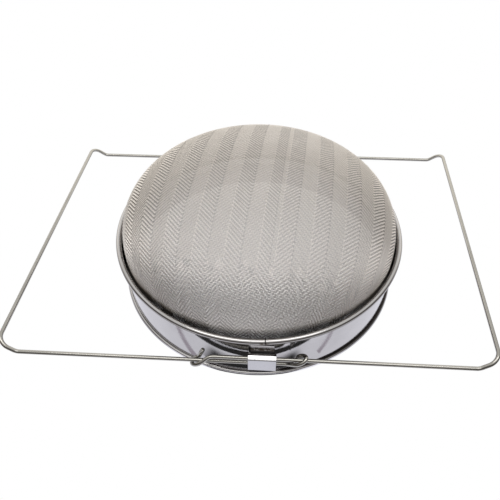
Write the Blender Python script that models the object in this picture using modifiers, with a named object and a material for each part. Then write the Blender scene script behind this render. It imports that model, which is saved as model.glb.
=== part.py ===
"""Double sieve strainer, standing on the rim of its coarse sieve with the fine sieve's dome upwards.

Two nested sieves share one axis, +Z. The coarse sieve is the root: a low hoop, a shallow dish of
coarse wire cloth and a clamping ring. The fine sieve sits over it: a taller hoop, a deep dome of
fine wire cloth and its clamping ring. Two sleeves on the fine hoop carry two wire bails, which slide
in and out along X. Each bail's leg ends in a hook that wraps round the other bail's leg.
"""

import math

import bpy
from mathutils import Vector

COLLECTION = "double_sieve_strainer"

# Driving dimensions, in metres
RIM_RADIUS = 0.1200          # outside of the large rim roll
RIM_HEIGHT = 0.0460          # middle of the large rim roll above the table
SHEET = 0.0006               # hoop sheet
GAP = 0.0003                 # between neighbouring pieces
TURN_STEPS = 48              # facets round a hoop, a ring or a cloth

ROLL_RADIUS = 0.0023         # outside of the large rim's roll
COARSE_ROLL_RADIUS = 0.00205
COARSE_ROLL_HEIGHT = 0.0017  # less than its radius, so that the roll has a flat foot
ROLL_END = 115.0             # where a roll's edge stops, in degrees below or above the roll's middle

FINE_HOOP_FOOT = 0.0042      # lower edge of the fine hoop, just above the coarse sieve's roll
FINE_HOOP_TAPER = 0.0003     # how much narrower the fine hoop is at its foot
COARSE_HOOP_RADIUS = 0.1143  # middle of the coarse hoop's sheet
COARSE_HOOP_TOP = 0.0220

CLOTH = 0.0004               # wire cloth stands as a closed sheet of this thickness
FINE_DOME_RADIUS = 0.1136
FINE_DOME_BASE = 0.0440
FINE_DOME_RISE = 0.0600
FINE_DOME_FULLNESS = 2.5     # 2 is an ellipse, more is boxier
FINE_SKIRT_FOOT = 0.0250
COARSE_DISH_RADIUS = 0.1130
COARSE_DISH_BASE = 0.0200
COARSE_DISH_RISE = 0.0220
COARSE_DISH_FULLNESS = 2.4
COARSE_SKIRT_FOOT = 0.0120
RING_WALL = 0.0008
RING_HEIGHT = 0.0075

WIRE = 0.0015                # bail wire radius
LEG_OUT = 0.1214             # bail legs run at this distance either side of the axis, along X
LOWER_LEG = 0.0250           # height of the left bail's legs
UPPER_LEG = 0.0305           # height of the right bail's legs
HOOK_RADIUS = 0.0034         # hook's centre line round the other leg
HOOK_LEAN = 0.0050           # how far the hook leans along the leg
HOOK_TIP = 0.0085            # straight end behind the other leg
HOOK_BEND = 0.0110           # the leg starts to bend towards its hook here
END_RUN = 0.0115             # the last stretch of a leg climbs over this run
END_RISE = 0.0095
END_INSET = 0.0010
KINK_FILLET = 0.0060
CORNER_FILLET = 0.0090
LEFT_HOOK = 0.0340
RIGHT_HOOK = -0.0380
LEFT_CORNERS = (-0.1838, -0.1788)   # front and rear corners of the left bail
RIGHT_CORNERS = (0.1714, 0.1802)

SLEEVE_MIDDLE = 0.0076       # the sleeves sit a little to the right of the axis
SLEEVE_LENGTH = 0.0213
SLEEVE_SHEET = 0.0008
SLEEVE_SPACE = 0.0039        # room for the wires, square to the hoop
SLEEVE_LOW = 0.0177
SLEEVE_HIGH = 0.0333
SLEEVE_FILLET = 0.0014
BRACKET_WIDTH = 0.0170
BRACKET_THICKNESS = 0.0016
BRACKET_LOW = 0.0195
BRACKET_HIGH = 0.0426

STEEL = (0.62, 0.61, 0.60)
BRIGHT_STEEL = (0.74, 0.74, 0.76)
CLOTH_STEEL = (0.47, 0.45, 0.43)


def clear_scene():
    """Start from an empty scene."""
    for item in list(bpy.data.objects):
        bpy.data.objects.remove(item, do_unlink=True)


def make_collection():
    """The collection that holds every sub-part."""
    group = bpy.data.collections.new(COLLECTION)
    bpy.context.scene.collection.children.link(group)
    return group


def make_material(name, colour, roughness):
    """A bare metal finish."""
    material = bpy.data.materials.new(name)
    material.use_nodes = True
    shader = material.node_tree.nodes["Principled BSDF"]
    shader.inputs["Base Color"].default_value = (*colour, 1.0)
    shader.inputs["Metallic"].default_value = 1.0
    shader.inputs["Roughness"].default_value = roughness
    return material


def add_object(name, data, group, colour, roughness, parent=None):
    """Link a mesh or curve as a named sub-part with its own material."""
    item = bpy.data.objects.new(name, data)
    group.objects.link(item)
    data.materials.append(make_material(name + "_metal", colour, roughness))
    if parent:
        item.parent = parent
    return item


def add_slide(name, place, group):
    """An empty on a slide's axis, which carries the pieces that move together."""
    empty = bpy.data.objects.new(name, None)
    empty.empty_display_size = 0.01
    empty.location = place
    group.objects.link(empty)
    return empty


def arc(middle, radius, start, end, count):
    """Points on an arc in a plane, from start to end in degrees."""
    points = []
    for i in range(count + 1):
        angle = math.radians(start + (end - start) * i / count)
        points.append((middle[0] + radius * math.cos(angle), middle[1] + radius * math.sin(angle)))
    return points


def strip_sides(path, thickness):
    """The two sides of a strip of sheet whose middle follows path, in a plane."""
    left, right = [], []
    for i, point in enumerate(path):
        before = path[max(i - 1, 0)]
        after = path[min(i + 1, len(path) - 1)]
        along = Vector((after[0] - before[0], after[1] - before[1])).normalized()
        across = Vector((-along.y, along.x)) * thickness / 2
        left.append((point[0] + across.x, point[1] + across.y))
        right.append((point[0] - across.x, point[1] - across.y))
    return left, right


def strip_outline(path, thickness):
    """The closed outline of a strip of sheet whose middle follows path."""
    left, right = strip_sides(path, thickness)
    return left + right[::-1]


def area_of(outline):
    """Signed area of a closed outline, positive when it runs anticlockwise."""
    total = 0.0
    for (x0, y0), (x1, y1) in zip(outline, outline[1:] + outline[:1]):
        total += x0 * y1 - x1 * y0
    return total / 2


def turned(name, profile, closed, steps, group, colour, roughness, parent=None):
    """Turn a profile of (radius, height) points round Z with a Screw modifier."""
    if closed and area_of(profile) > 0:
        profile = profile[::-1]
    mesh = bpy.data.meshes.new(name)
    edges = [(i, i + 1) for i in range(len(profile) - 1)]
    if closed:
        edges.append((len(profile) - 1, 0))
    mesh.from_pydata([(r, 0.0, z) for r, z in profile], edges, [])
    item = add_object(name, mesh, group, colour, roughness, parent)
    screw = item.modifiers.new("turn", "SCREW")
    screw.axis = "Z"
    screw.angle = math.tau
    screw.steps = steps
    screw.render_steps = steps
    screw.use_merge_vertices = True
    screw.merge_threshold = 0.00001
    screw.use_smooth_shade = True
    return item


def fine_hoop_radius(height):
    """Middle of the fine hoop's sheet, a touch narrower towards its foot."""
    top = RIM_RADIUS - 2 * ROLL_RADIUS + SHEET / 2
    share = (RIM_HEIGHT - height) / (RIM_HEIGHT - FINE_HOOP_FOOT)
    return top - FINE_HOOP_TAPER * share


def make_fine_hoop(group, parent):
    """The tall hoop, whose upper edge rolls outwards round the rim wire."""
    roll = ROLL_RADIUS - SHEET / 2
    top = fine_hoop_radius(RIM_HEIGHT)
    path = [(fine_hoop_radius(FINE_HOOP_FOOT), FINE_HOOP_FOOT)]
    path.append((fine_hoop_radius(0.024), 0.024))
    path += arc((top + roll, RIM_HEIGHT), roll, 180.0, -ROLL_END, 10)
    outline = strip_outline(path, SHEET)
    turned("fine_hoop", outline, True, TURN_STEPS, group, BRIGHT_STEEL, 0.12, parent)


def make_coarse_hoop(group):
    """The low inner hoop, whose lower edge rolls outwards into the foot that everything stands on."""
    roll = COARSE_ROLL_RADIUS - SHEET / 2
    path = [(COARSE_HOOP_RADIUS, COARSE_HOOP_TOP), (COARSE_HOOP_RADIUS, 0.010)]
    path += arc((COARSE_HOOP_RADIUS + roll, COARSE_ROLL_HEIGHT), roll, 180.0, 360.0 + ROLL_END, 10)
    outline = [(r, max(z, 0.0)) for r, z in strip_outline(path, SHEET)]
    turned("coarse_hoop", outline, True, TURN_STEPS, group, BRIGHT_STEEL, 0.15)


def make_rim_wire(name, radius, height, roll_radius, group, parent=None):
    """The round wire inside a rolled rim."""
    wire = roll_radius - SHEET - GAP
    outline = arc((radius, height), wire, 0.0, -360.0, 6)[:-1]
    turned(name, outline, True, TURN_STEPS, group, STEEL, 0.3, parent)


def dome_path(radius, base, rise, fullness, count):
    """Middle line of a dome, from its crown down to its base."""
    points = []
    for i in range(count + 1):
        angle = math.pi / 2 * (1 - i / count)
        out = radius * math.cos(angle) ** (2 / fullness)
        up = base + rise * math.sin(angle) ** (2 / fullness)
        points.append((out, up))
    points[0] = (0.0, base + rise)
    return points


def make_cloth(name, dome, skirt, group, parent=None):
    """A dished sheet of wire cloth with a straight skirt round its edge."""
    outer, inner = strip_sides(dome + skirt, CLOTH)
    outer[0] = (0.0, outer[0][1])
    inner[0] = (0.0, inner[0][1])
    turned(name, outer + inner[::-1], False, TURN_STEPS, group, CLOTH_STEEL, 0.4, parent)


def make_ring(name, outer, low, group, parent=None):
    """A plain ring that clamps a cloth's skirt against its hoop."""
    inner = outer - RING_WALL
    high = low + RING_HEIGHT
    outline = [(outer, high), (outer, low), (inner, low), (inner, high)]
    turned(name, outline, True, TURN_STEPS, group, STEEL, 0.25, parent)


def make_fine_sieve(group, parent):
    """Hoop, rim wire, dome and clamping ring of the fine sieve."""
    make_fine_hoop(group, parent)
    wire_radius = RIM_RADIUS - ROLL_RADIUS
    make_rim_wire("fine_rim_wire", wire_radius, RIM_HEIGHT, ROLL_RADIUS, group, parent)
    skirt_radius = fine_hoop_radius(0.0290) - SHEET / 2 - GAP - CLOTH / 2
    lead = skirt_radius - FINE_DOME_RADIUS
    skirt = [(FINE_DOME_RADIUS + lead * share, height)
             for share, height in ((0.15, 0.0400), (0.55, 0.0365), (0.95, 0.0338), (1.0, 0.0330))]
    skirt += [(skirt_radius, 0.0290), (skirt_radius, FINE_SKIRT_FOOT)]
    dome = dome_path(FINE_DOME_RADIUS, FINE_DOME_BASE, FINE_DOME_RISE, FINE_DOME_FULLNESS, 11)
    make_cloth("fine_mesh", dome, skirt, group, parent)
    ring_radius = skirt_radius - CLOTH / 2 - GAP
    make_ring("fine_mesh_ring", ring_radius, FINE_SKIRT_FOOT, group, parent)


def make_coarse_sieve(group):
    """Hoop, rim wire, dish and clamping ring of the coarse sieve."""
    make_coarse_hoop(group)
    wire_radius = COARSE_HOOP_RADIUS - SHEET / 2 + COARSE_ROLL_RADIUS
    make_rim_wire("coarse_rim_wire", wire_radius, COARSE_ROLL_HEIGHT, COARSE_ROLL_RADIUS, group)
    skirt_radius = COARSE_HOOP_RADIUS - SHEET / 2 - GAP - CLOTH / 2
    dome = dome_path(COARSE_DISH_RADIUS, COARSE_DISH_BASE, COARSE_DISH_RISE, COARSE_DISH_FULLNESS, 8)
    skirt = [(skirt_radius, 0.0185), (skirt_radius, COARSE_SKIRT_FOOT)]
    make_cloth("coarse_mesh", dome, skirt, group)
    ring_radius = skirt_radius - CLOTH / 2 - GAP
    make_ring("coarse_mesh_ring", ring_radius, COARSE_SKIRT_FOOT - 0.001, group)


def fillet(before, corner, after, radius, count):
    """Points on an arc that rounds off a corner of a wire."""
    a = (before - corner).normalized()
    b = (after - corner).normalized()
    half = a.angle(b) / 2
    reach = radius / math.tan(half)
    middle = corner + (a + b).normalized() * radius / math.sin(half)
    start = corner + a * reach - middle
    end = corner + b * reach - middle
    sweep = start.angle(end)
    points = []
    for i in range(count + 1):
        share = i / count
        point = start * math.sin((1 - share) * sweep) + end * math.sin(share * sweep)
        points.append(middle + point / math.sin(sweep))
    return points


def smooth_through(points, count):
    """A smooth curve through a wire's own points, by Catmull-Rom."""
    padded = [points[0] * 2 - points[1]] + points + [points[-1] * 2 - points[-2]]
    result = []
    for i in range(1, len(padded) - 2):
        p0, p1, p2, p3 = padded[i - 1:i + 3]
        for step in range(count):
            t = step / count
            point = p1 * 2 + (p2 - p0) * t + (p0 * 2 - p1 * 5 + p2 * 4 - p3) * t ** 2
            result.append((point + (p1 * 3 - p0 - p2 * 3 + p3) * t ** 3) / 2)
    result.append(points[-1])
    return result


def hook_points(hook, side, leg, other):
    """A leg's hooked end, from its tip to where it joins the straight leg, on the front side.

    The hook passes in front of the other leg, round it and up or down behind it.
    """
    turn = 1.0 if leg > other else -1.0
    route = []
    for share in (1.0, 0.5):
        place = (hook + side * 0.4 * HOOK_TIP * share, -(LEG_OUT - HOOK_RADIUS), other + turn * HOOK_TIP * share)
        route.append(Vector(place))
    for angle in range(270, 30, -30):
        a = math.radians(angle)
        out = LEG_OUT + HOOK_RADIUS * math.sin(a)
        up = other + turn * HOOK_RADIUS * math.cos(a)
        route.append(Vector((hook + side * HOOK_LEAN * math.cos(a), -out, up)))
    route.append(Vector((hook + side * (HOOK_BEND - 0.0035), -(LEG_OUT + 0.0006), leg - turn * 0.0006)))
    route.append(Vector((hook + side * HOOK_BEND, -LEG_OUT, leg)))
    route.append(Vector((hook + side * (HOOK_BEND + 0.004), -LEG_OUT, leg)))
    return smooth_through(route, 2)


def half_bail(hook, side, leg, other, corner, far_corner):
    """Front half of a bail, from the hook's tip to the start of the crossbar."""
    end = Vector((corner, -LEG_OUT + END_INSET, leg + END_RISE))
    kink = Vector((corner - side * END_RUN, -LEG_OUT, leg))
    points = hook_points(hook, side, leg, other)
    points += fillet(points[-1], kink, end, KINK_FILLET, 4)
    crossbar = Vector((far_corner, LEG_OUT - END_INSET, leg + END_RISE))
    points += fillet(kink, end, crossbar, CORNER_FILLET, 6)
    return points


def make_bail(name, hook, side, leg, other, corners, group, parent):
    """A U-shaped wire bail with a hook at each leg's end."""
    front = half_bail(hook, side, leg, other, corners[0], corners[1])
    rear = half_bail(hook, side, leg, other, corners[1], corners[0])
    rear = [Vector((p.x, -p.y, p.z)) for p in rear]
    points = front + rear[::-1]
    curve = bpy.data.curves.new(name, "CURVE")
    curve.dimensions = "3D"
    curve.bevel_depth = WIRE
    curve.bevel_resolution = 2
    curve.use_fill_caps = True
    spline = curve.splines.new("POLY")
    spline.points.add(len(points) - 1)
    for target, point in zip(spline.points, points):
        local = point - parent.location
        target.co = (*local, 1.0)
    add_object(name, curve, group, STEEL, 0.2, parent)


def sleeve_path():
    """Middle line of the folded sleeve in (outwards, height), from its seam round to its seam."""
    half = SLEEVE_SHEET / 2
    inner = LEG_OUT - SLEEVE_SPACE / 2 - half
    outer = LEG_OUT + SLEEVE_SPACE / 2 + half
    low, high = SLEEVE_LOW + half, SLEEVE_HIGH - half
    r = SLEEVE_FILLET
    path = [(inner, high - 0.0016), (inner, low + r + 0.003)]
    path += arc((inner + r, low + r), r, 180.0, 270.0, 4)
    path += arc((outer - r, low + r), r, 270.0, 360.0, 4)
    path += arc((outer - r, high - r), r, 0.0, 90.0, 4)
    path.append((inner - half, high))
    return path


def extruded(name, outline, length, middle, side, group, colour, roughness, parent):
    """A flat outline in (outwards, height), extruded along X about middle."""
    curve = bpy.data.curves.new(name, "CURVE")
    curve.dimensions = "2D"
    curve.fill_mode = "BOTH"
    curve.extrude = length / 2
    spline = curve.splines.new("POLY")
    spline.points.add(len(outline) - 1)
    for target, (out, up) in zip(spline.points, outline):
        target.co = (side * out, up, 0.0, 1.0)
    spline.use_cyclic_u = True
    item = add_object(name, curve, group, colour, roughness, parent)
    item.location = (middle, 0.0, 0.0)
    item.rotation_euler = (math.pi / 2, 0.0, math.pi / 2)
    return item


def make_sleeve(place, side, group, parent):
    """The sleeve that both bails slide through, and the bracket that holds it to the hoop."""
    outline = strip_outline(sleeve_path(), SLEEVE_SHEET)
    extruded(place + "_clip", outline, SLEEVE_LENGTH, SLEEVE_MIDDLE, side, group, BRIGHT_STEEL, 0.15, parent)
    near = LEG_OUT - SLEEVE_SPACE / 2 - SLEEVE_SHEET - GAP
    far = near - BRACKET_THICKNESS
    plate = [(near, BRACKET_LOW), (near, BRACKET_HIGH), (far, BRACKET_HIGH), (far, BRACKET_LOW)]
    extruded(place + "_bracket", plate, BRACKET_WIDTH, SLEEVE_MIDDLE, side, group, STEEL, 0.3, parent)


def main():
    clear_scene()
    group = make_collection()
    lift = add_slide("fine_sieve_lift", (0.0, 0.0, 0.0), group)
    left = add_slide("left_bail_slide", (0.0, 0.0, LOWER_LEG), group)
    right = add_slide("right_bail_slide", (0.0, 0.0, UPPER_LEG), group)
    left.parent = lift
    right.parent = lift
    make_coarse_sieve(group)
    make_fine_sieve(group, lift)
    for place, side in (("front", -1.0), ("rear", 1.0)):
        make_sleeve(place, side, group, lift)
    make_bail("left_bail", LEFT_HOOK, -1.0, LOWER_LEG, UPPER_LEG, LEFT_CORNERS, group, left)
    make_bail("right_bail", RIGHT_HOOK, 1.0, UPPER_LEG, LOWER_LEG, RIGHT_CORNERS, group, right)


main()
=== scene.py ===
"""Looks of the double sieve strainer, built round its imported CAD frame.

Everything is polished or drawn stainless steel. The hoops, rings, sleeves and bails are smooth
versions of the CAD pieces, and both cloths are really woven: every wire is a tube of its own that
goes over and under the others. Lengths are in metres, in the CAD's frame.
"""

import math

import bpy
import numpy as np
from mathutils import Matrix, Vector


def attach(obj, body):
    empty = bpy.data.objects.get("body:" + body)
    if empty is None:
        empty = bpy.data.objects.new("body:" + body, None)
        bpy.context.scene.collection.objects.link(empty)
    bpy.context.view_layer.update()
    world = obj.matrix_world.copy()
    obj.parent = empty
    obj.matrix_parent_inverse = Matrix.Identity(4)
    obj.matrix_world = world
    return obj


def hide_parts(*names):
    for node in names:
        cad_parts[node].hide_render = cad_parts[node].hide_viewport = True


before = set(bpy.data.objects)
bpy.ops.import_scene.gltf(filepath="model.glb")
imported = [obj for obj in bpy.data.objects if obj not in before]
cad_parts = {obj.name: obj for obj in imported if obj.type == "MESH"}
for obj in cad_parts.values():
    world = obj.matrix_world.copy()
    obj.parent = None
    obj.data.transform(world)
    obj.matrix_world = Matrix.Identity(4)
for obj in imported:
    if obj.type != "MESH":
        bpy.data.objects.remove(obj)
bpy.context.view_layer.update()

# The photograph's viewpoint
LENS = 36.29
SENSOR = 36.0
ELEVATION = math.radians(46.45)
AZIMUTH = math.radians(3.5)
DISTANCE = 0.464
CAMERA_ASIDE = -0.00763
CAMERA_UP = 0.0101
ROLL = math.radians(-0.41)

# The CAD's driving dimensions
RIM_RADIUS = 0.1200
RIM_HEIGHT = 0.0460
SHEET = 0.0006
CLOTH = 0.0004
GAP = 0.0003
ROLL_RADIUS = 0.0023
COARSE_ROLL_RADIUS = 0.00205
COARSE_ROLL_HEIGHT = 0.0017
ROLL_END = 115.0
FINE_HOOP_FOOT = 0.0042
FINE_HOOP_TAPER = 0.0003
RING_GRIP = 0.0290           # height at which the fine ring and cloth are fitted to the hoop
COARSE_HOOP_RADIUS = 0.1143
COARSE_HOOP_TOP = 0.0220
DOME_RADIUS = 0.1136
DOME_BASE = 0.0440
DOME_RISE = 0.0600
DOME_FULLNESS = 2.5
DOME_SKIRT = ((0.15, 0.0400), (0.55, 0.0365), (0.95, 0.0338), (1.0, 0.0330))   # share of the way out, height
SKIRT_FOOT = 0.0250
SKIRT_EDGE = 0.001           # from a ring's foot to the edge of its cloth
DISH_RADIUS = 0.1130
DISH_BASE = 0.0200
DISH_RISE = 0.0220
DISH_FULLNESS = 2.4
DISH_SKIRT_TOP = 0.0185
DISH_SKIRT_FOOT = 0.0120
RING_WALL = 0.0008
RING_HEIGHT = 0.0075
WIRE = 0.0015
LEG_OUT = 0.1214
LOWER_LEG = 0.0250
UPPER_LEG = 0.0305
HOOK_RADIUS = 0.0034
HOOK_LEAN = 0.0050
HOOK_TIP = 0.0085
HOOK_SPREAD = 0.4            # how far the tip leans sideways, as a share of its length
HOOK_BEND = 0.0110
HOOK_EASE = 0.0035           # before the bend the wire is this far back, and bows by
HOOK_BOW = 0.0006
HOOK_RUN = 0.0040
END_RUN = 0.0115
END_RISE = 0.0095
END_INSET = 0.0010
KINK_FILLET = 0.0060
CORNER_FILLET = 0.0090
LEFT_HOOK = 0.0340
RIGHT_HOOK = -0.0380
LEFT_CORNERS = (-0.1838, -0.1788)
RIGHT_CORNERS = (0.1714, 0.1802)

# The sleeves, a little shorter than in the CAD, and the brackets
SLEEVE_MIDDLE = 0.0079
SLEEVE_LENGTH = 0.0202
SLEEVE_SHEET = 0.0008
SLEEVE_SPACE = 0.0039
SLEEVE_LOW = 0.0177
SLEEVE_HIGH = 0.0333
SLEEVE_FILLET = 0.0014
SLEEVE_LIP = 0.0016          # the inner wall ends this far under the top
SLEEVE_WALL = 0.0030         # and is straight from here down to the fillet
SLANT_FOOT = 0.03201         # height of the slanting top at its outer edge
SLANT_TOP = 0.0330           # and at its inner one, which is this far out
SLANT_END = 0.1206
SLANT_FILLET = 0.0007
SLANT_WAY = 68.0             # degrees up, the way it faces
SLEEVE_EASE = 0.00012
BRACKET_WIDTH = 0.0170
BRACKET_THICKNESS = 0.0016
BRACKET_LOW = 0.0195
BRACKET_HIGH = 0.0426
BRACKET_EASE = 0.0002

# Fineness of the meshes
HOOP_STEPS = 384
RING_STEPS = 256
ROLL_STEPS = 40
TUBE_SIDES = 20
TUBE_END = ((0.28, 0.90), (0.40, 0.70), (0.44, 0.05))    # past the end and across, in radii
WAVE_DEPTH = 0.00005         # unevenness of the fine hoop's sheet

# The woven cloths
FINE_PITCH = 0.00085         # from one wire to the next
WARP_WIRE = 0.00047          # wire diameters
WEFT_WIRE = 0.00036
COLUMN_WIRES = 14            # warp wires in one column of the herringbone
COLUMN_CHANGE = 0.018        # the other columns stand out from here to the right
COLUMN_FRONT = -0.090        # and all of them in front of this, give or take
COLUMN_RIPPLE = 0.006
COLUMN_START = -0.01445      # left edge of the column that is nearest the crown
CLOTH_TURN = math.radians(5.0)   # the columns aren't quite square to the bails
PAINTED_SHADE_STEPS = (1.0, 0.76, 0.52, 0.32, 0.15)    # painted shade: how light the wires are, unshaded ones first, darkest at the foot
PAINTED_SHADE_FOOT = 0.0462        # height at which the darkest wires end
PAINTED_SHADE_DROP = 0.0100        # how much lower that is at the sides
PAINTED_SHADE_RISE = 0.0072        # and how much higher the unshaded ones start, at the front
FINE_SINK = 0.00022          # how far the wires' middles lie under the CAD cloth's face
FINE_SIDES = 5
FINE_STRIPS = 8              # each cloth is made in strips, so that no piece is too heavy
COARSE_PITCH = 0.0021
COARSE_WIRE = 0.00050
COARSE_TURN = math.radians(20)
COARSE_SINK = 0.0003
COARSE_SIDES = 6
COARSE_STRIPS = 2

# The room that the steel reflects: stops of its colours, in front of the object and behind it
WALL_RADIUS = 1.5
WALL_HEIGHT = 1.2
ROOM_SIDES = 96
TABLE_LIGHT = (0.88, 0.88, 0.95)
WALL_FRONT = ((0.0, (0.08, 0.07, 0.06)), (0.40, (0.11, 0.10, 0.095)), (1.0, (0.45, 0.43, 0.43)))
WALL_BACK = ((0.0, (0.95, 0.91, 0.84)), (0.35, (1.3, 1.25, 1.16)), (1.0, (1.4, 1.35, 1.27)))
TABLE_FRONT = ((0.0, TABLE_LIGHT), (0.115, TABLE_LIGHT), (0.17, (0.30, 0.29, 0.28)),
               (0.40, (0.11, 0.10, 0.09)), (1.0, (0.08, 0.07, 0.06)))
TABLE_BACK = ((0.0, TABLE_LIGHT), (0.15, (0.88, 0.86, 0.86)), (0.40, (1.3, 1.24, 1.15)),
              (1.0, (1.3, 1.24, 1.15)))
LEFT_LIGHT = -0.06           # how much further forward the light reaches on the left
TURN_START, TURN_END = -0.15, 0.95     # where front turns into back, as shares of
TABLE_TURN = 0.5                       # this on the table, and of the wall's radius on the wall
# A rod that only reflections see, for the dark image of the legs in the hoop, and the legs' shadow
SHADE_ROD = ((-0.046, -0.1134, 0.0290), (-0.040, -0.1150, 0.0272), (-0.032, -0.1168, 0.0248),
             (-0.015, -0.1178, 0.0238), (0.030, -0.1178, 0.0238), (0.038, -0.1160, 0.0262),
             (0.046, -0.1134, 0.0300))
SHADE_ROD_RADIUS = 0.0017
LEG_SHADOWS = ((-0.095, -0.046, -0.1112, -0.1078), (0.058, 0.100, -0.1112, -0.1078),
               (-0.050, 0.050, -0.1285, -0.1150))
SOFT_EDGES = (("X", -0.050, -0.034), ("X", 0.050, 0.036), ("Y", -0.1285, -0.1220))   # of the last of these
SHADE = (0.03, 0.03, 0.03)
HALF_SHADE = (0.46, 0.42, 0.48)
SHADOW_HEIGHT = -0.0001
FLOOR_HEIGHT = -0.0002
TABLE_HEIGHT = -0.0003
FLOOR_SIZE = 8.0
WORLD_LIGHT = (1.0, 0.985, 0.96)
WORLD_STRENGTH = 0.85
LAMP_PLACE = (0.0, -0.32, 1.3)
LAMP_SIZE = (1.3, 0.40)
LAMP_POWER = 4.0
LAMP_COLOUR = (1.0, 0.98, 0.97)


# ---------------------------------------------------------------- meshes

def add_mesh(name, points, faces, material, smooth=True):
    """A mesh object from an array of points and an array of quads, or a list of faces."""
    mesh = bpy.data.meshes.new(name)
    points = np.asarray(points, np.float32)
    if isinstance(faces, np.ndarray):
        count, size = faces.shape
        mesh.vertices.add(len(points))
        mesh.vertices.foreach_set("co", points.ravel())
        mesh.loops.add(count * size)
        mesh.loops.foreach_set("vertex_index", faces.astype(np.int32).ravel())
        mesh.polygons.add(count)
        mesh.polygons.foreach_set("loop_start", np.arange(count, dtype=np.int32) * size)
        mesh.update(calc_edges=True)
        mesh.validate()
    else:
        mesh.from_pydata([tuple(p) for p in points], [], faces)
    mesh.shade_smooth() if smooth else mesh.shade_flat()
    item = bpy.data.objects.new(name, mesh)
    bpy.context.scene.collection.objects.link(item)
    mesh.materials.append(material)
    return item


def grid_faces(rows, columns, close_rows, close_columns, flip=False):
    """Quads of a grid of points, row by row, that may close round either way."""
    i = np.arange(rows if close_rows else rows - 1)
    j = np.arange(columns if close_columns else columns - 1)
    i, j = np.meshgrid(i, j, indexing="ij")
    a = i * columns + j
    b = i * columns + (j + 1) % columns
    c = (i + 1) % rows * columns + (j + 1) % columns
    d = (i + 1) % rows * columns + j
    order = (d, c, b, a) if flip else (a, b, c, d)
    return np.stack([q.ravel() for q in order], 1)


def area_of(outline):
    """Signed area of a closed outline, positive when it runs anticlockwise."""
    x, y = np.asarray(outline).T
    return float(np.sum(x * np.roll(y, -1) - np.roll(x, -1) * y)) / 2


def turned(name, outline, material, steps=HOOP_STEPS, wave=None):
    """A closed outline of (radius, height) turned round Z. wave moves points in or out."""
    outline = np.asarray(outline)
    if area_of(outline) < 0:
        outline = outline[::-1]
    angle = np.arange(steps) / steps * math.tau
    radius = np.repeat(outline[None, :, 0], steps, 0)
    height = np.repeat(outline[None, :, 1], steps, 0)
    turn = np.repeat(angle[:, None], len(outline), 1)
    if wave:
        radius = radius + wave(turn, height)
    points = np.stack([radius * np.cos(turn), radius * np.sin(turn), height], -1).reshape(-1, 3)
    faces = grid_faces(steps, len(outline), True, True)
    item = add_mesh(name, points, faces, material)
    item.data.set_sharp_from_angle(angle=math.radians(50))
    return item


def arc(middle, radius, start, end, count):
    """Points on an arc in a plane, from start to end in degrees."""
    angle = np.radians(np.linspace(start, end, count + 1))
    return [(middle[0] + radius * math.cos(a), middle[1] + radius * math.sin(a)) for a in angle]


def strip_outline(path, thickness):
    """The closed outline of a strip of sheet whose middle follows path, in a plane."""
    path = np.asarray(path)
    along = np.gradient(path, axis=0)
    along[0] = path[1] - path[0]
    along[-1] = path[-1] - path[-2]
    along /= np.linalg.norm(along, axis=1)[:, None]
    across = np.stack([-along[:, 1], along[:, 0]], 1) * thickness / 2
    return np.concatenate([path + across, (path - across)[::-1]])


def tube(name, points, radius, material, sides=TUBE_SIDES):
    """A round wire through points, with softly rounded ends."""
    points = np.asarray([tuple(p) for p in points], float)
    along = np.gradient(points, axis=0)
    along /= np.linalg.norm(along, axis=1)[:, None]
    normals = [np.array((0.0, 0.0, 1.0))]
    for t in along:
        n = normals[-1] - t * (normals[-1] @ t)
        normals.append(n / np.linalg.norm(n))
    normals = np.array(normals[1:])
    sideways = np.cross(along, normals)
    turn = np.arange(sides) / sides * math.tau
    rings = list(points[:, None] + radius * (np.cos(turn)[None, :, None] * normals[:, None]
                                             + np.sin(turn)[None, :, None] * sideways[:, None]))
    for end, way in ((0, -1.0), (-1, 1.0)):
        caps = []
        for lift, share in TUBE_END:
            middle = points[end] + along[end] * way * lift * radius
            circle = np.cos(turn)[:, None] * normals[end] + np.sin(turn)[:, None] * sideways[end]
            caps.append(middle + radius * share * circle)
        rings = caps[::-1] + rings if end == 0 else rings + caps
    rings = np.array(rings)
    faces = [tuple(f) for f in grid_faces(len(rings), sides, False, True)]
    last = (len(rings) - 1) * sides
    faces.append(tuple(range(sides))[::-1])
    faces.append(tuple(last + i for i in range(sides)))
    return add_mesh(name, rings.reshape(-1, 3), faces, material)


# ---------------------------------------------------------------- materials

def new_material(name):
    """A node material with its shader and output, its nodes and its links."""
    material = bpy.data.materials.new(name)
    material.use_nodes = True
    return material, material.node_tree.nodes, material.node_tree.links


def noise(nodes, links, vector, scale, detail):
    """Cloudy noise at a scale."""
    node = nodes.new("ShaderNodeTexNoise")
    node.inputs["Scale"].default_value = scale
    node.inputs["Detail"].default_value = detail
    links.new(vector, node.inputs["Vector"])
    return node.outputs["Fac"]


def spread_out(nodes, links, value, low, high, start=0.0, end=1.0):
    """A value's range from low to high, smoothed and taken to start and end."""
    node = nodes.new("ShaderNodeMapRange")
    node.interpolation_type = "SMOOTHSTEP"
    node.inputs["From Min"].default_value = low
    node.inputs["From Max"].default_value = high
    node.inputs["To Min"].default_value = start
    node.inputs["To Max"].default_value = end
    links.new(value, node.inputs["Value"])
    return node.outputs["Result"]


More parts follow.
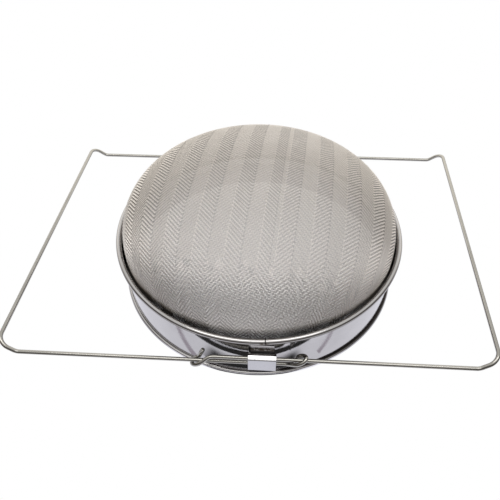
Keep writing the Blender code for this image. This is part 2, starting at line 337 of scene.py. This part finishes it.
def stain(nodes, links, place, colour, edges, scale, low, high):
    """A mark of another colour, between edges and where the noise is high, over a colour."""
    axes = nodes.new("ShaderNodeSeparateXYZ")
    links.new(place.outputs["Object"], axes.inputs["Vector"])
    flat = nodes.new("ShaderNodeVectorMath")
    flat.operation = "MULTIPLY"
    flat.inputs[1].default_value = (1.0, 1.0, 0.0)
    links.new(place.outputs["Object"], flat.inputs[0])
    length = nodes.new("ShaderNodeVectorMath")
    length.operation = "LENGTH"
    links.new(flat.outputs["Vector"], length.inputs[0])
    mask = spread_out(nodes, links, noise(nodes, links, place.outputs["Object"], scale, 3.0), low, high)
    for axis, start, end in edges:
        value = length.outputs["Value"] if axis == "R" else axes.outputs[axis]
        turned_round = start > end
        edge = spread_out(nodes, links, value, min(start, end), max(start, end),
                          1.0 if turned_round else 0.0, 0.0 if turned_round else 1.0)
        product = nodes.new("ShaderNodeMath")
        product.operation = "MULTIPLY"
        links.new(mask, product.inputs[0])
        links.new(edge, product.inputs[1])
        mask = product.outputs["Value"]
    mix = nodes.new("ShaderNodeMix")
    mix.data_type = "RGBA"
    links.new(mask, mix.inputs["Factor"])
    links.new(colour[0], mix.inputs["A"])
    mix.inputs["B"].default_value = (*colour[1], 1.0)
    return mix.outputs["Result"]


def steel(name, colour, roughness, spread, grain, depth, stretch=(1.0, 1.0, 1.0), stains=()):
    """Stainless steel: colour, roughness and a fine bump all vary over the surface.

    Each stain is a colour, its edges (axis, where it starts, where it is full), and the noise that
    breaks it up: scale, low, high. Axis R is the distance from the Z axis.
    """
    material, nodes, links = new_material(name)
    shader = nodes["Principled BSDF"]
    shader.inputs["Metallic"].default_value = 1.0
    place = nodes.new("ShaderNodeTexCoord")
    mapping = nodes.new("ShaderNodeMapping")
    mapping.inputs["Scale"].default_value = stretch
    links.new(place.outputs["Object"], mapping.inputs["Vector"])
    broad = noise(nodes, links, place.outputs["Object"], 38.0, 4.0)
    fine = noise(nodes, links, mapping.outputs["Vector"], grain, 3.0)
    links.new(spread_out(nodes, links, broad, 0.3, 0.7, roughness - spread, roughness + spread),
              shader.inputs["Roughness"])
    ramp = nodes.new("ShaderNodeValToRGB")
    ramp.color_ramp.elements[0].position = 0.35
    ramp.color_ramp.elements[0].color = (*[c * 0.90 for c in colour], 1.0)
    ramp.color_ramp.elements[1].position = 0.65
    ramp.color_ramp.elements[1].color = (*colour, 1.0)
    links.new(broad, ramp.inputs["Fac"])
    result = ramp.outputs["Color"]
    for shade, edges, scale, low, high in stains:
        result = stain(nodes, links, place, (result, shade), edges, scale, low, high)
    links.new(result, shader.inputs["Base Color"])
    bump = nodes.new("ShaderNodeBump")
    bump.inputs["Strength"].default_value = depth
    bump.inputs["Distance"].default_value = 0.0002
    links.new(fine, bump.inputs["Height"])
    links.new(bump.outputs["Normal"], shader.inputs["Normal"])
    return material


def plain_steel(name, colour, roughness):
    """Steel of one colour, for wires too thin to show any change along them."""
    material, nodes, _ = new_material(name)
    shader = nodes["Principled BSDF"]
    shader.inputs["Metallic"].default_value = 1.0
    shader.inputs["Base Color"].default_value = (*colour, 1.0)
    shader.inputs["Roughness"].default_value = roughness
    return material


def toned(name, colour, roughness):
    """The same wire from unshaded to darkest, for painted shade that darkens and browns the cloth near its
    foot.
    """
    tones = []
    for n, share in enumerate(PAINTED_SHADE_STEPS):
        tone = tuple(c * share * warmer ** n for c, warmer in zip(colour, (1.0, 0.985, 0.96)))
        tones.append(plain_steel(f"{name}_{n}", tone, roughness + 0.05 * n))
    return tones


SEAM = 0.0098                # where the rolled rim's ends meet, in front
BROWN, BLACK = (0.10, 0.075, 0.05), (0.035, 0.032, 0.03)
SOLID = (60.0, 0.0, 0.1)     # noise that breaks nothing up
POLISHED = dict(colour=(0.56, 0.55, 0.55), roughness=0.10, spread=0.03, grain=900.0, depth=0.05,
                stretch=(1, 1, 6))
FINE_SHEET = steel("fine_sheet_metal", **POLISHED, stains=(
    # the shaded underside of the rolled rim
    ((0.13, 0.11, 0.09), (("Z", RIM_HEIGHT + 0.0006, RIM_HEIGHT - 0.0004), ("R", 0.1161, 0.1166)), *SOLID),
    # heat tarnish and the dark seam where the rim's ends meet
    (BROWN, (("X", SEAM - 0.0050, SEAM - 0.0020), ("X", SEAM + 0.0035, SEAM + 0.0010),
             ("Y", -0.10, -0.11), ("Z", 0.0425, 0.0440), ("Z", 0.0478, 0.0462)), 420.0, 0.44, 0.54),
    (BLACK, (("X", SEAM - 0.0006, SEAM - 0.0002), ("X", SEAM + 0.0006, SEAM + 0.0002),
             ("Y", -0.10, -0.11), ("Z", 0.0425, 0.0440)), *SOLID)))
COARSE_SHEET = steel("coarse_sheet_metal", **POLISHED, stains=(
    # painted light: the rolled foot is made lighter in front, for a brighter reflection there
    ((0.86, 0.85, 0.86), (("R", 0.1168, 0.1174), ("Y", -0.090, -0.105)), *SOLID),
    # painted shade and painted dark reflection between it and the hoop: wide on the right, narrow in front,
    # broken streaks on the left
    (BLACK, (("R", 0.1146, 0.1150), ("R", 0.1176, 0.1168), ("X", 0.017, 0.024)), *SOLID),
    (BLACK, (("R", 0.1146, 0.1150), ("R", 0.1164, 0.1157), ("X", -0.055, -0.040)), *SOLID),
    (BLACK, (("R", 0.1146, 0.1150), ("R", 0.1162, 0.1158), ("X", -0.040, -0.055)), 34.0, 0.46, 0.52)))
CLIP_METAL = steel("clip_metal", (0.58, 0.58, 0.60), 0.16, 0.04, 1200.0, 0.08)
TAB_METAL = steel("bracket_metal", (0.54, 0.52, 0.50), 0.20, 0.05, 700.0, 0.12, stains=(
    (BROWN, (("Z", 0.0360, 0.0366), ("Z", 0.0400, 0.0390)), 330.0, 0.44, 0.52),
    (BLACK, (("Z", 0.0366, 0.0360),), *SOLID)))
WIRE_METAL = steel("wire_metal", (0.45, 0.44, 0.41), 0.16, 0.05, 1500.0, 0.06)
RING_METAL = steel("ring_metal", (0.55, 0.54, 0.53), 0.25, 0.05, 900.0, 0.08)
# Painted light and shade: the warp wires are painted lighter and the weft darker, for how each catches the
# light, so the diagonals stand out; more so in every other column, where warp and weft differ more
LIT_WARP_METALS = (toned("fine_warp_painted_light", (0.95, 0.905, 0.858), 0.30)
              + toned("fine_warp_painted_light_soft", (0.80, 0.765, 0.725), 0.30))
SHADED_WEFT_METALS = (toned("fine_weft_painted_shade", (0.40, 0.382, 0.364), 0.30)
              + toned("fine_weft_painted_shade_soft", (0.62, 0.59, 0.555), 0.30))
COARSE_METAL = plain_steel("coarse_cloth_metal", (0.62, 0.62, 0.68), 0.30)


# ---------------------------------------------------------------- hoops and rings

def fine_hoop_radius(height):
    """Middle of the fine hoop's sheet."""
    top = RIM_RADIUS - 2 * ROLL_RADIUS + SHEET / 2
    share = (RIM_HEIGHT - height) / (RIM_HEIGHT - FINE_HOOP_FOOT)
    return top - FINE_HOOP_TAPER * share


def sheet_wave(low, high, depth):
    """Slight unevenness of thin sheet between two heights, gone at both."""
    def wave(turn, height):
        share = np.clip((height - low) / (high - low), 0, 1)
        fade = np.sin(share * math.pi) ** 2
        shape = (np.sin(5 * turn + 1.0) + 0.7 * np.sin(11 * turn + 40 * height)
                 + 0.4 * np.sin(23 * turn - 60 * height + 2.0))
        return depth * fade * shape
    return wave


def make_hoops():
    """Both hoops with their rolled rims, the wires inside these, and the rings that hold the cloths."""
    roll = ROLL_RADIUS - SHEET / 2
    top = fine_hoop_radius(RIM_HEIGHT)
    heights = np.linspace(FINE_HOOP_FOOT, RIM_HEIGHT, 29)[:-1]
    path = [(fine_hoop_radius(z), z) for z in heights]
    path += arc((top + roll, RIM_HEIGHT), roll, 180.0, -ROLL_END, ROLL_STEPS)
    hoop = turned("fine_hoop_sheet", strip_outline(path, SHEET), FINE_SHEET,
                  wave=sheet_wave(FINE_HOOP_FOOT, RIM_HEIGHT - 0.003, WAVE_DEPTH))
    finish(hoop, "fine_sieve", "polished_sheet", "fine_hoop")

    roll = COARSE_ROLL_RADIUS - SHEET / 2
    path = [(COARSE_HOOP_RADIUS, z) for z in np.linspace(COARSE_HOOP_TOP, COARSE_ROLL_HEIGHT, 16)[:-1]]
    path += arc((COARSE_HOOP_RADIUS + roll, COARSE_ROLL_HEIGHT), roll, 180.0, 360.0 + ROLL_END, ROLL_STEPS)
    outline = strip_outline(path, SHEET)
    outline[:, 1] = np.maximum(outline[:, 1], 0.0)
    hoop = turned("coarse_hoop_sheet", outline, COARSE_SHEET)
    finish(hoop, "coarse_sieve", "polished_sheet", "coarse_hoop")

    for name, body, radius, height, size in (
            ("fine_rim", "fine_sieve", RIM_RADIUS - ROLL_RADIUS, RIM_HEIGHT, ROLL_RADIUS),
            ("coarse_rim", "coarse_sieve", COARSE_HOOP_RADIUS - SHEET / 2 + COARSE_ROLL_RADIUS,
             COARSE_ROLL_HEIGHT, COARSE_ROLL_RADIUS)):
        outline = arc((radius, height), size - SHEET - GAP, 0.0, 360.0, 16)[:-1]
        finish(turned(name + "_core", outline, WIRE_METAL, RING_STEPS), body, "bail_wire", name + "_wire")

    skirt = fine_hoop_radius(RING_GRIP) - SHEET / 2 - 2 * GAP - CLOTH
    finish(make_ring("fine_ring", skirt, SKIRT_FOOT), "fine_sieve", "ring_steel", "fine_mesh_ring")
    skirt = COARSE_HOOP_RADIUS - SHEET / 2 - 2 * GAP - CLOTH
    finish(make_ring("coarse_ring", skirt, DISH_SKIRT_FOOT - SKIRT_EDGE), "coarse_sieve", "ring_steel",
           "coarse_mesh_ring")


def make_ring(name, outer, low):
    """A plain clamping ring with eased edges."""
    ease = 0.00015
    inner, high = outer - RING_WALL, low + RING_HEIGHT
    outline = []
    for x, z, start in ((outer - ease, high - ease, 0), (inner + ease, high - ease, 90),
                        (inner + ease, low + ease, 180), (outer - ease, low + ease, 270)):
        outline += arc((x, z), ease, start, start + 90, 3)
    return turned(name, outline, RING_METAL, RING_STEPS)


def finish(piece, body, slot, *nodes):
    """Say which body a piece rides on and which CAD nodes it stands for. slot, for its finish, is not used.
    """
    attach(piece, body)
    if nodes:
        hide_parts(*nodes)
    return piece


# ---------------------------------------------------------------- woven cloth

class Bowl:
    """A dish of wire cloth: places on a flat disc of cloth are taken to places on its surface."""

    def __init__(self, radius, base, rise, fullness, skirt, sink):
        angle = np.linspace(math.pi / 2, 0.0, 6001)
        out = radius * np.cos(angle) ** (2 / fullness)
        up = base + rise * np.sin(angle) ** (2 / fullness)
        out[0], up[0] = 0.0, base + rise
        for r, z in skirt:
            out = np.append(out, np.linspace(out[-1], r, 40)[1:])
            up = np.append(up, np.linspace(up[-1], z, 40)[1:])
        reach = np.concatenate([[0.0], np.cumsum(np.hypot(np.diff(out), np.diff(up)))])
        self.reach = np.linspace(0.0, reach[-1], 3000)
        out = np.interp(self.reach, reach, out)
        up = np.interp(self.reach, reach, up)
        slope = np.arctan2(np.gradient(up), np.gradient(out))
        slope = np.convolve(np.pad(slope, 12, mode="edge"), np.ones(25) / 25, "valid")
        self.normal_out, self.normal_up = -np.sin(slope), np.cos(slope)
        self.out = out - self.normal_out * sink
        self.up = up - self.normal_up * sink

    def place(self, u, v, lift):
        """Points and outward normals for places (u, v) on the flat cloth, lifted along the normals."""
        reach = np.hypot(u, v)
        turn = np.arctan2(v, u)
        n_out = np.interp(reach, self.reach, self.normal_out)
        n_up = np.interp(reach, self.reach, self.normal_up)
        out = np.interp(reach, self.reach, self.out) + n_out * lift
        up = np.interp(reach, self.reach, self.up) + n_up * lift
        cos, sin = np.cos(turn), np.sin(turn)
        return (np.stack([out * cos, out * sin, up], -1),
                np.stack([n_out * cos, n_out * sin, n_up], -1))


def painted_shade_depth(places):
    """How deep the painted shade on the wire is at these places: 0 is none. It reaches highest at the front.
    """
    turn = np.arctan2(places[:, 1], places[:, 0])
    front = np.clip(-np.sin(turn), 0, 1)
    rise = PAINTED_SHADE_RISE * (0.15 + 0.85 * front ** 1.5)
    foot = PAINTED_SHADE_FOOT - PAINTED_SHADE_DROP * (1 - front) ** 2
    ripple = 0.25 * np.sin(7 * turn + 1.3) + 0.20 * np.sin(17 * turn) + 0.15 * np.sin(41 * turn + 0.5)
    share = (places[:, 2] - foot) / rise + 0.25 * ripple
    return np.clip(np.ceil((1 - share) * (len(PAINTED_SHADE_STEPS) - 1)), 0, len(PAINTED_SHADE_STEPS) - 1).astype(int)


def weave(name, bowl, pitch, wire, over, turn, start, sides, per_crossing, along_warp, lines, materials):
    """The wires of one direction as tubes, which go over and under those across them.

    over(i, j) is 1 where warp i lies over weft j, else -1. along_warp says whether these are the
    warp wires, and lines are their numbers. materials is one material, or the tones, with painted
    light and shade, of a strong wire and then those of a soft one. The strong wires are in every
    other column, and in all of them in front. To the right of COLUMN_CHANGE they are in the
    columns that are soft on the left.
    """
    limit = bowl.reach[-1]
    cos, sin = math.cos(turn), math.sin(turn)
    points, faces, tones = [], [], []
    first = 0
    ring = np.arange(sides) / sides * math.tau + math.pi / sides
    for line in lines:
        across = start[0 if along_warp else 1] + (line + 0.5) * pitch
        if abs(across) >= limit - pitch:
            continue
        half = math.sqrt(limit ** 2 - across ** 2)
        origin = start[1 if along_warp else 0]
        low = math.ceil((-half - origin) / pitch * per_crossing)
        high = math.floor((half - origin) / pitch * per_crossing)
        step = np.arange(low, high + 1)
        along = origin + step * pitch / per_crossing
        crossing = step / per_crossing - 0.5
        before = np.floor(crossing).astype(int)
        share = crossing - before
        share = share * share * (3 - 2 * share)
        if along_warp:
            lift = over(line, before) * (1 - share) + over(line, before + 1) * share
            u, v = across * np.ones_like(along), along
        else:
            lift = -(over(before, line) * (1 - share) + over(before + 1, line) * share)
            u, v = along, across * np.ones_like(along)
        x, y = u * cos + v * sin, -u * sin + v * cos
        middle, normal = bowl.place(x, y, lift * wire / 2)
        tangent = np.gradient(middle, axis=0)
        tangent /= np.linalg.norm(tangent, axis=1)[:, None]
        side = np.cross(tangent, normal)
        side /= np.linalg.norm(side, axis=1)[:, None]
        up = np.cross(side, tangent)
        rings = middle[:, None] + wire / 2 * (np.cos(ring)[None, :, None] * side[:, None]
                                              + np.sin(ring)[None, :, None] * up[:, None])
        points.append(rings.reshape(-1, 3))
        faces.append(grid_faces(len(middle), sides, False, True) + first)
        # painted shade: the wires get darker towards the cloth's foot, most in front
        tone = painted_shade_depth(middle[:-1]) % len(materials)
        if len(materials) > len(PAINTED_SHADE_STEPS):
            column = (line if along_warp else before[:-1]) // COLUMN_WIRES
            leaning = np.where(u[:-1] < COLUMN_CHANGE, 0, 1)
            uneven = COLUMN_RIPPLE * np.sin(u[:-1] * 190 + line * 0.4)
            soft = (column % 2 != leaning) & (v[:-1] > COLUMN_FRONT + uneven)
            tone = tone + soft * len(PAINTED_SHADE_STEPS)
        tones.append(np.repeat(tone, sides))
        first += len(middle) * sides
    item = add_mesh(name, np.concatenate(points), np.concatenate(faces), materials[0])
    for material in materials[1:]:
        item.data.materials.append(material)
    item.data.polygons.foreach_set("material_index", np.concatenate(tones).astype(np.int32))
    return item


def herringbone(i, j):
    """2/2 twill whose diagonals turn back at each column."""
    column = np.floor_divide(i, COLUMN_WIRES)
    place = i - column * COLUMN_WIRES
    place = np.where(column % 2 == 0, place, COLUMN_WIRES - 1 - place)
    return np.where((place + j) % 4 < 2, 1.0, -1.0)


def plain(i, j):
    """Plain weave."""
    return np.where((i + j) % 2 == 0, 1.0, -1.0)


def make_cloths():
    """Both cloths, in strips."""
    coarser = 1
    skirt = fine_hoop_radius(RING_GRIP) - SHEET / 2 - GAP - CLOTH / 2
    steps = [(DOME_RADIUS + (skirt - DOME_RADIUS) * share, z) for share, z in DOME_SKIRT]
    steps.append((skirt, SKIRT_FOOT + SKIRT_EDGE))
    bowl = Bowl(DOME_RADIUS, DOME_BASE, DOME_RISE, DOME_FULLNESS, steps, FINE_SINK)
    start = (COLUMN_START, -0.0003)
    pitch = FINE_PITCH * coarser
    count = int(bowl.reach[-1] / pitch) + 2
    low = -count + int(-COLUMN_START / pitch)
    lines = np.array_split(np.arange(low, count + 40), FINE_STRIPS)
    for along_warp, word in ((True, "warp"), (False, "weft")):
        wire = (WARP_WIRE if along_warp else WEFT_WIRE) * coarser
        for n, some in enumerate(lines):
            piece = weave(f"fine_cloth_{word}_{n + 1}", bowl, pitch, wire, herringbone, CLOTH_TURN, start,
                          FINE_SIDES, 1, along_warp, some, LIT_WARP_METALS if along_warp else SHADED_WEFT_METALS)
            finish(piece, "fine_sieve", "fine_cloth", "fine_mesh")
    skirt = COARSE_HOOP_RADIUS - SHEET / 2 - GAP - CLOTH / 2
    steps = [(skirt, DISH_SKIRT_TOP), (skirt, DISH_SKIRT_FOOT + SKIRT_EDGE)]
    bowl = Bowl(DISH_RADIUS, DISH_BASE, DISH_RISE, DISH_FULLNESS, steps, COARSE_SINK)
    count = int(bowl.reach[-1] / COARSE_PITCH) + 2
    lines = np.array_split(np.arange(-count, count), COARSE_STRIPS)
    for along_warp, word in ((True, "warp"), (False, "weft")):
        for n, some in enumerate(lines):
            piece = weave(f"coarse_cloth_{word}_{n + 1}", bowl, COARSE_PITCH, COARSE_WIRE, plain, COARSE_TURN,
                          (0, 0), COARSE_SIDES, 2, along_warp, some, [COARSE_METAL])
            finish(piece, "coarse_sieve", "coarse_cloth", "coarse_mesh")


# ---------------------------------------------------------------- bails

def fillet(before, corner, after, radius, count):
    """Points on an arc that rounds off a corner of a wire."""
    a = (before - corner).normalized()
    b = (after - corner).normalized()
    half = a.angle(b) / 2
    reach = radius / math.tan(half)
    middle = corner + (a + b).normalized() * radius / math.sin(half)
    start = corner + a * reach - middle
    end = corner + b * reach - middle
    sweep = start.angle(end)
    points = []
    for i in range(count + 1):
        share = i / count
        point = start * math.sin((1 - share) * sweep) + end * math.sin(share * sweep)
        points.append(middle + point / math.sin(sweep))
    return points


def smooth_through(points, count):
    """A smooth curve through a wire's own points, by Catmull-Rom."""
    padded = [points[0] * 2 - points[1]] + points + [points[-1] * 2 - points[-2]]
    result = []
    for i in range(1, len(padded) - 2):
        p0, p1, p2, p3 = padded[i - 1:i + 3]
        for step in range(count):
            t = step / count
            point = p1 * 2 + (p2 - p0) * t + (p0 * 2 - p1 * 5 + p2 * 4 - p3) * t ** 2
            result.append((point + (p1 * 3 - p0 - p2 * 3 + p3) * t ** 3) / 2)
    result.append(points[-1])
    return result


def hook_points(hook, side, leg, other):
    """A leg's hooked end, from its tip to where it joins the straight leg, on the front side."""
    turn = 1.0 if leg > other else -1.0
    route = []
    for share in (1.0, 0.5):
        route.append(Vector((hook + side * HOOK_SPREAD * HOOK_TIP * share, -(LEG_OUT - HOOK_RADIUS),
                             other + turn * HOOK_TIP * share)))
    for angle in range(270, 30, -30):
        a = math.radians(angle)
        out = LEG_OUT + HOOK_RADIUS * math.sin(a)
        up = other + turn * HOOK_RADIUS * math.cos(a)
        route.append(Vector((hook + side * HOOK_LEAN * math.cos(a), -out, up)))
    route.append(Vector((hook + side * (HOOK_BEND - HOOK_EASE), -(LEG_OUT + HOOK_BOW),
                         leg - turn * HOOK_BOW)))
    route.append(Vector((hook + side * HOOK_BEND, -LEG_OUT, leg)))
    route.append(Vector((hook + side * (HOOK_BEND + HOOK_RUN), -LEG_OUT, leg)))
    return smooth_through(route, 6)


def half_bail(hook, side, leg, other, corner, far_corner):
    """Front half of a bail, from the hook's tip to the start of the crossbar."""
    end = Vector((corner, -LEG_OUT + END_INSET, leg + END_RISE))
    kink = Vector((corner - side * END_RUN, -LEG_OUT, leg))
    points = hook_points(hook, side, leg, other)
    points += fillet(points[-1], kink, end, KINK_FILLET, 12)
    crossbar = Vector((far_corner, LEG_OUT - END_INSET, leg + END_RISE))
    points += fillet(kink, end, crossbar, CORNER_FILLET, 16)
    return points


def make_bail(name, body, hook, side, leg, other, corners):
    """A U-shaped wire bail with a hook at each leg's end."""
    front = half_bail(hook, side, leg, other, corners[0], corners[1])
    rear = half_bail(hook, side, leg, other, corners[1], corners[0])
    rear = [Vector((p.x, -p.y, p.z)) for p in rear]
    points = front + rear[::-1]
    kept = [points[0]]
    for point in points[1:]:
        if (point - kept[-1]).length > 0.0001:
            kept.append(point)
    finish(tube(name, kept, WIRE, WIRE_METAL), body, "bail_wire", body)


# ---------------------------------------------------------------- sleeves and brackets

def extruded(name, outline, length, middle, side, material, ease):
    """An outline in (outwards, height) extruded along X about middle, with eased ends."""
    outline = np.asarray(outline)
    if area_of(outline) < 0:
        outline = outline[::-1]
    if side < 0:
        outline = outline[::-1]
    edge = np.roll(outline, -1, 0) - np.roll(outline, 1, 0)
    edge /= np.maximum(np.linalg.norm(edge, axis=1), 1e-9)[:, None]
    inward = np.stack([-edge[:, 1], edge[:, 0]], 1) * (1 if area_of(outline) > 0 else -1)
    rows = []
    half = length / 2
    for x, inset in ((-half, ease), (-half + ease, 0.0), (half - ease, 0.0), (half, ease)):
        flat = outline + inward * inset
        rows.append(np.stack([np.full(len(flat), middle + x), side * flat[:, 0], flat[:, 1]], 1))
    count = len(outline)
    faces = [tuple(f) for f in grid_faces(4, count, False, True, flip=True)]
    faces.append(tuple(range(count)))
    faces.append(tuple(range(4 * count - 1, 3 * count - 1, -1)))
    item = add_mesh(name, np.concatenate(rows), faces, material)
    item.data.set_sharp_from_angle(angle=math.radians(35))
    return item


def make_sleeve(place, side):
    """A folded sleeve, whose top slants down and outwards, and its bracket."""
    half = SLEEVE_SHEET / 2
    inner = LEG_OUT - SLEEVE_SPACE / 2 - half
    outer = LEG_OUT + SLEEVE_SPACE / 2 + half
    low, high, r = SLEEVE_LOW + half, SLEEVE_HIGH - half, SLEEVE_FILLET
    path = [(inner, high - SLEEVE_LIP), (inner, low + r + SLEEVE_WALL)]
    path += arc((inner + r, low + r), r, 180.0, 270.0, 10)
    path += arc((outer - r, low + r), r, 270.0, 360.0, 10)
    path += arc((outer - SLANT_FILLET, SLANT_FOOT - SLANT_FILLET), SLANT_FILLET, 0.0, SLANT_WAY, 6)
    path += arc((SLANT_END, SLANT_TOP - SLANT_FILLET), SLANT_FILLET, SLANT_WAY, 90.0, 4)
    path.append((inner - half, SLANT_TOP))
    sleeve = extruded(place + "_sleeve", strip_outline(path, SLEEVE_SHEET), SLEEVE_LENGTH, SLEEVE_MIDDLE,
                      side, CLIP_METAL, SLEEVE_EASE)
    finish(sleeve, "fine_sieve", "clip_steel", place + "_clip")
    near = LEG_OUT - SLEEVE_SPACE / 2 - SLEEVE_SHEET - GAP
    far = near - BRACKET_THICKNESS
    plate = [(near, BRACKET_LOW), (near, BRACKET_HIGH), (far, BRACKET_HIGH), (far, BRACKET_LOW)]
    bracket = extruded(place + "_tab", plate, BRACKET_WIDTH, SLEEVE_MIDDLE, side, TAB_METAL, BRACKET_EASE)
    finish(bracket, "fine_sieve", "clip_steel", place + "_bracket")


# ---------------------------------------------------------------- stage

def make_camera():
    """The photograph's viewpoint."""
    look = Vector((-math.sin(AZIMUTH) * math.cos(ELEVATION), math.cos(AZIMUTH) * math.cos(ELEVATION),
                   -math.sin(ELEVATION)))
    right = Vector((math.cos(AZIMUTH), math.sin(AZIMUTH), 0.0))
    up = right.cross(look)
    r = right * math.cos(ROLL) + up * math.sin(ROLL)
    u = -right * math.sin(ROLL) + up * math.cos(ROLL)
    place = -look * DISTANCE + r * CAMERA_ASIDE + u * CAMERA_UP
    data = bpy.data.cameras.new("view")
    data.lens = LENS
    data.sensor_width = SENSOR
    data.clip_start = 0.01
    camera = bpy.data.objects.new("view", data)
    camera.matrix_world = Matrix((
        (r.x, u.x, -look.x, place.x), (r.y, u.y, -look.y, place.y),
        (r.z, u.z, -look.z, place.z), (0, 0, 0, 1)))
    bpy.context.scene.collection.objects.link(camera)
    bpy.context.scene.camera = camera


def add_lamp():
    """A soft box overhead that points at the object."""
    data = bpy.data.lights.new("overhead", "AREA")
    data.shape = "RECTANGLE"
    data.size, data.size_y = LAMP_SIZE
    data.energy = LAMP_POWER
    data.color = LAMP_COLOUR
    light = bpy.data.objects.new("overhead", data)
    light.location = LAMP_PLACE
    light.rotation_euler = (-Vector(LAMP_PLACE)).to_track_quat("-Z", "Y").to_euler()
    bpy.context.scene.collection.objects.link(light)


def glow_material(name):
    """A material that only gives off light, its nodes and links, and where its colour goes in."""
    material, nodes, links = new_material(name)
    nodes.remove(nodes["Principled BSDF"])
    glow = nodes.new("ShaderNodeEmission")
    links.new(glow.outputs["Emission"], nodes["Material Output"].inputs["Surface"])
    return material, nodes, links, glow.inputs["Color"]


def plain_glow(name, colour):
    """A surface that gives off one colour."""
    material, _, _, socket = glow_material(name)
    socket.default_value = (*colour, 1.0)
    return material


def ramp_over(nodes, links, value, reach, stops):
    """A colour that goes through stops, (share, colour), as a value grows to reach."""
    share = nodes.new("ShaderNodeMapRange")
    share.inputs["From Max"].default_value = reach
    links.new(value, share.inputs["Value"])
    ramp = nodes.new("ShaderNodeValToRGB")
    elements = ramp.color_ramp.elements
    elements.remove(elements[1])
    for n, (at, colour) in enumerate(stops):
        element = elements[0] if n == 0 else elements.new(at)
        element.position, element.color = at, (*colour, 1.0)
    links.new(share.outputs["Result"], ramp.inputs["Fac"])
    return ramp.outputs["Color"]


def glowing(name, by_height, reach, front, back):
    """A surface that gives off light, by its height or by the distance from the middle.

    front and back are the stops of its colour before and behind the object.
    """
    material, nodes, links, socket = glow_material(name)
    place = nodes.new("ShaderNodeTexCoord")
    axes = nodes.new("ShaderNodeSeparateXYZ")
    links.new(place.outputs["Object"], axes.inputs["Vector"])
    if by_height:
        value = axes.outputs["Z"]
    else:
        length = nodes.new("ShaderNodeVectorMath")
        length.operation = "LENGTH"
        links.new(place.outputs["Object"], length.inputs[0])
        value = length.outputs["Value"]
    depth = nodes.new("ShaderNodeMath")
    depth.operation = "MULTIPLY_ADD"
    depth.inputs[1].default_value = LEFT_LIGHT
    links.new(axes.outputs["X"], depth.inputs[0])
    links.new(axes.outputs["Y"], depth.inputs[2])
    behind = nodes.new("ShaderNodeMapRange")
    behind.interpolation_type = "SMOOTHSTEP"
    behind.inputs["From Min"].default_value = TURN_START * (WALL_RADIUS if by_height else TABLE_TURN)
    behind.inputs["From Max"].default_value = TURN_END * (WALL_RADIUS if by_height else TABLE_TURN)
    links.new(depth.outputs["Value"], behind.inputs["Value"])
    mix = nodes.new("ShaderNodeMix")
    mix.data_type = "RGBA"
    links.new(behind.outputs["Result"], mix.inputs["Factor"])
    links.new(ramp_over(nodes, links, value, reach, front), mix.inputs["A"])
    links.new(ramp_over(nodes, links, value, reach, back), mix.inputs["B"])
    links.new(mix.outputs["Result"], socket)
    return material


def shaded_table(name, shade, edges):
    """The lit table with a soft dark mark on it."""
    material, nodes, links, socket = glow_material(name)
    light = nodes.new("ShaderNodeRGB")
    light.outputs["Color"].default_value = (*TABLE_LIGHT, 1.0)
    place = nodes.new("ShaderNodeTexCoord")
    links.new(stain(nodes, links, place, (light.outputs["Color"], shade), edges, *SOLID), socket)
    return material


def round_wall(name, radius, low, high, material):
    """A round wall about the object."""
    turn = np.arange(ROOM_SIDES) / ROOM_SIDES * math.tau
    rows = [np.stack([radius * np.cos(turn), radius * np.sin(turn), np.full(ROOM_SIDES, z)], 1)
            for z in (low, high)]
    return add_mesh(name, np.concatenate(rows), grid_faces(2, ROOM_SIDES, False, True), material)


def card(name, left, right, front, rear, height, material):
    """A flat rectangle that lies level."""
    corners = [(left, front, height), (right, front, height), (right, rear, height), (left, rear, height)]
    return add_mesh(name, corners, [(0, 1, 2, 3)], material, smooth=False)


def make_surroundings():
    """What the polished steel reflects and the camera doesn't see.

    The room is dark in front, beyond the lit table, and light behind and on the left.
    """
    half = FLOOR_SIZE / 2
    room = glowing("studio_wall", True, WALL_HEIGHT, WALL_FRONT, WALL_BACK)
    light = glowing("table_light", False, WALL_RADIUS, TABLE_FRONT, TABLE_BACK)
    props = [round_wall("studio_wall", WALL_RADIUS, 0.0, WALL_HEIGHT, room),
             card("table_light", -half, half, -half, half, TABLE_HEIGHT, light),
             tube("shade_rod", SHADE_ROD, SHADE_ROD_RADIUS, plain_glow("shade", SHADE))]
    soft = plain_glow("leg_shadow", HALF_SHADE)
    shades = (soft, soft, shaded_table("leg_shade", SHADE, SOFT_EDGES))
    for n, (sides, shade) in enumerate(zip(LEG_SHADOWS, shades)):
        props.append(card(f"leg_shadow_{n + 1}", *sides, SHADOW_HEIGHT, shade))
    for item in props:
        item.visible_camera = False
        item.visible_shadow = False
        item.visible_diffuse = False


def make_stage():
    """A white floor without shadows, soft light from above and the room to reflect."""
    half = FLOOR_SIZE / 2
    material = plain_glow("floor_paper", (1.0, 1.0, 1.0))
    for item in (card("floor", -half, half, -half, half, FLOOR_HEIGHT, material),
                 round_wall("backdrop", half, FLOOR_HEIGHT, half, material)):
        item.visible_glossy = False
        item.visible_diffuse = False
        item.visible_shadow = False
    world = bpy.data.worlds.new("studio")
    bpy.context.scene.world = world
    world.use_nodes = True
    background = world.node_tree.nodes["Background"]
    background.inputs["Color"].default_value = (*WORLD_LIGHT, 1.0)
    background.inputs["Strength"].default_value = WORLD_STRENGTH
    make_surroundings()
    add_lamp()
    bpy.context.scene.view_settings.view_transform = "Standard"


make_camera()
make_hoops()
make_cloths()
make_bail("left_bail_rod", "left_bail", LEFT_HOOK, -1.0, LOWER_LEG, UPPER_LEG, LEFT_CORNERS)
make_bail("right_bail_rod", "right_bail", RIGHT_HOOK, 1.0, UPPER_LEG, LOWER_LEG, RIGHT_CORNERS)
make_sleeve("front", -1.0)
make_sleeve("rear", 1.0)
make_stage()
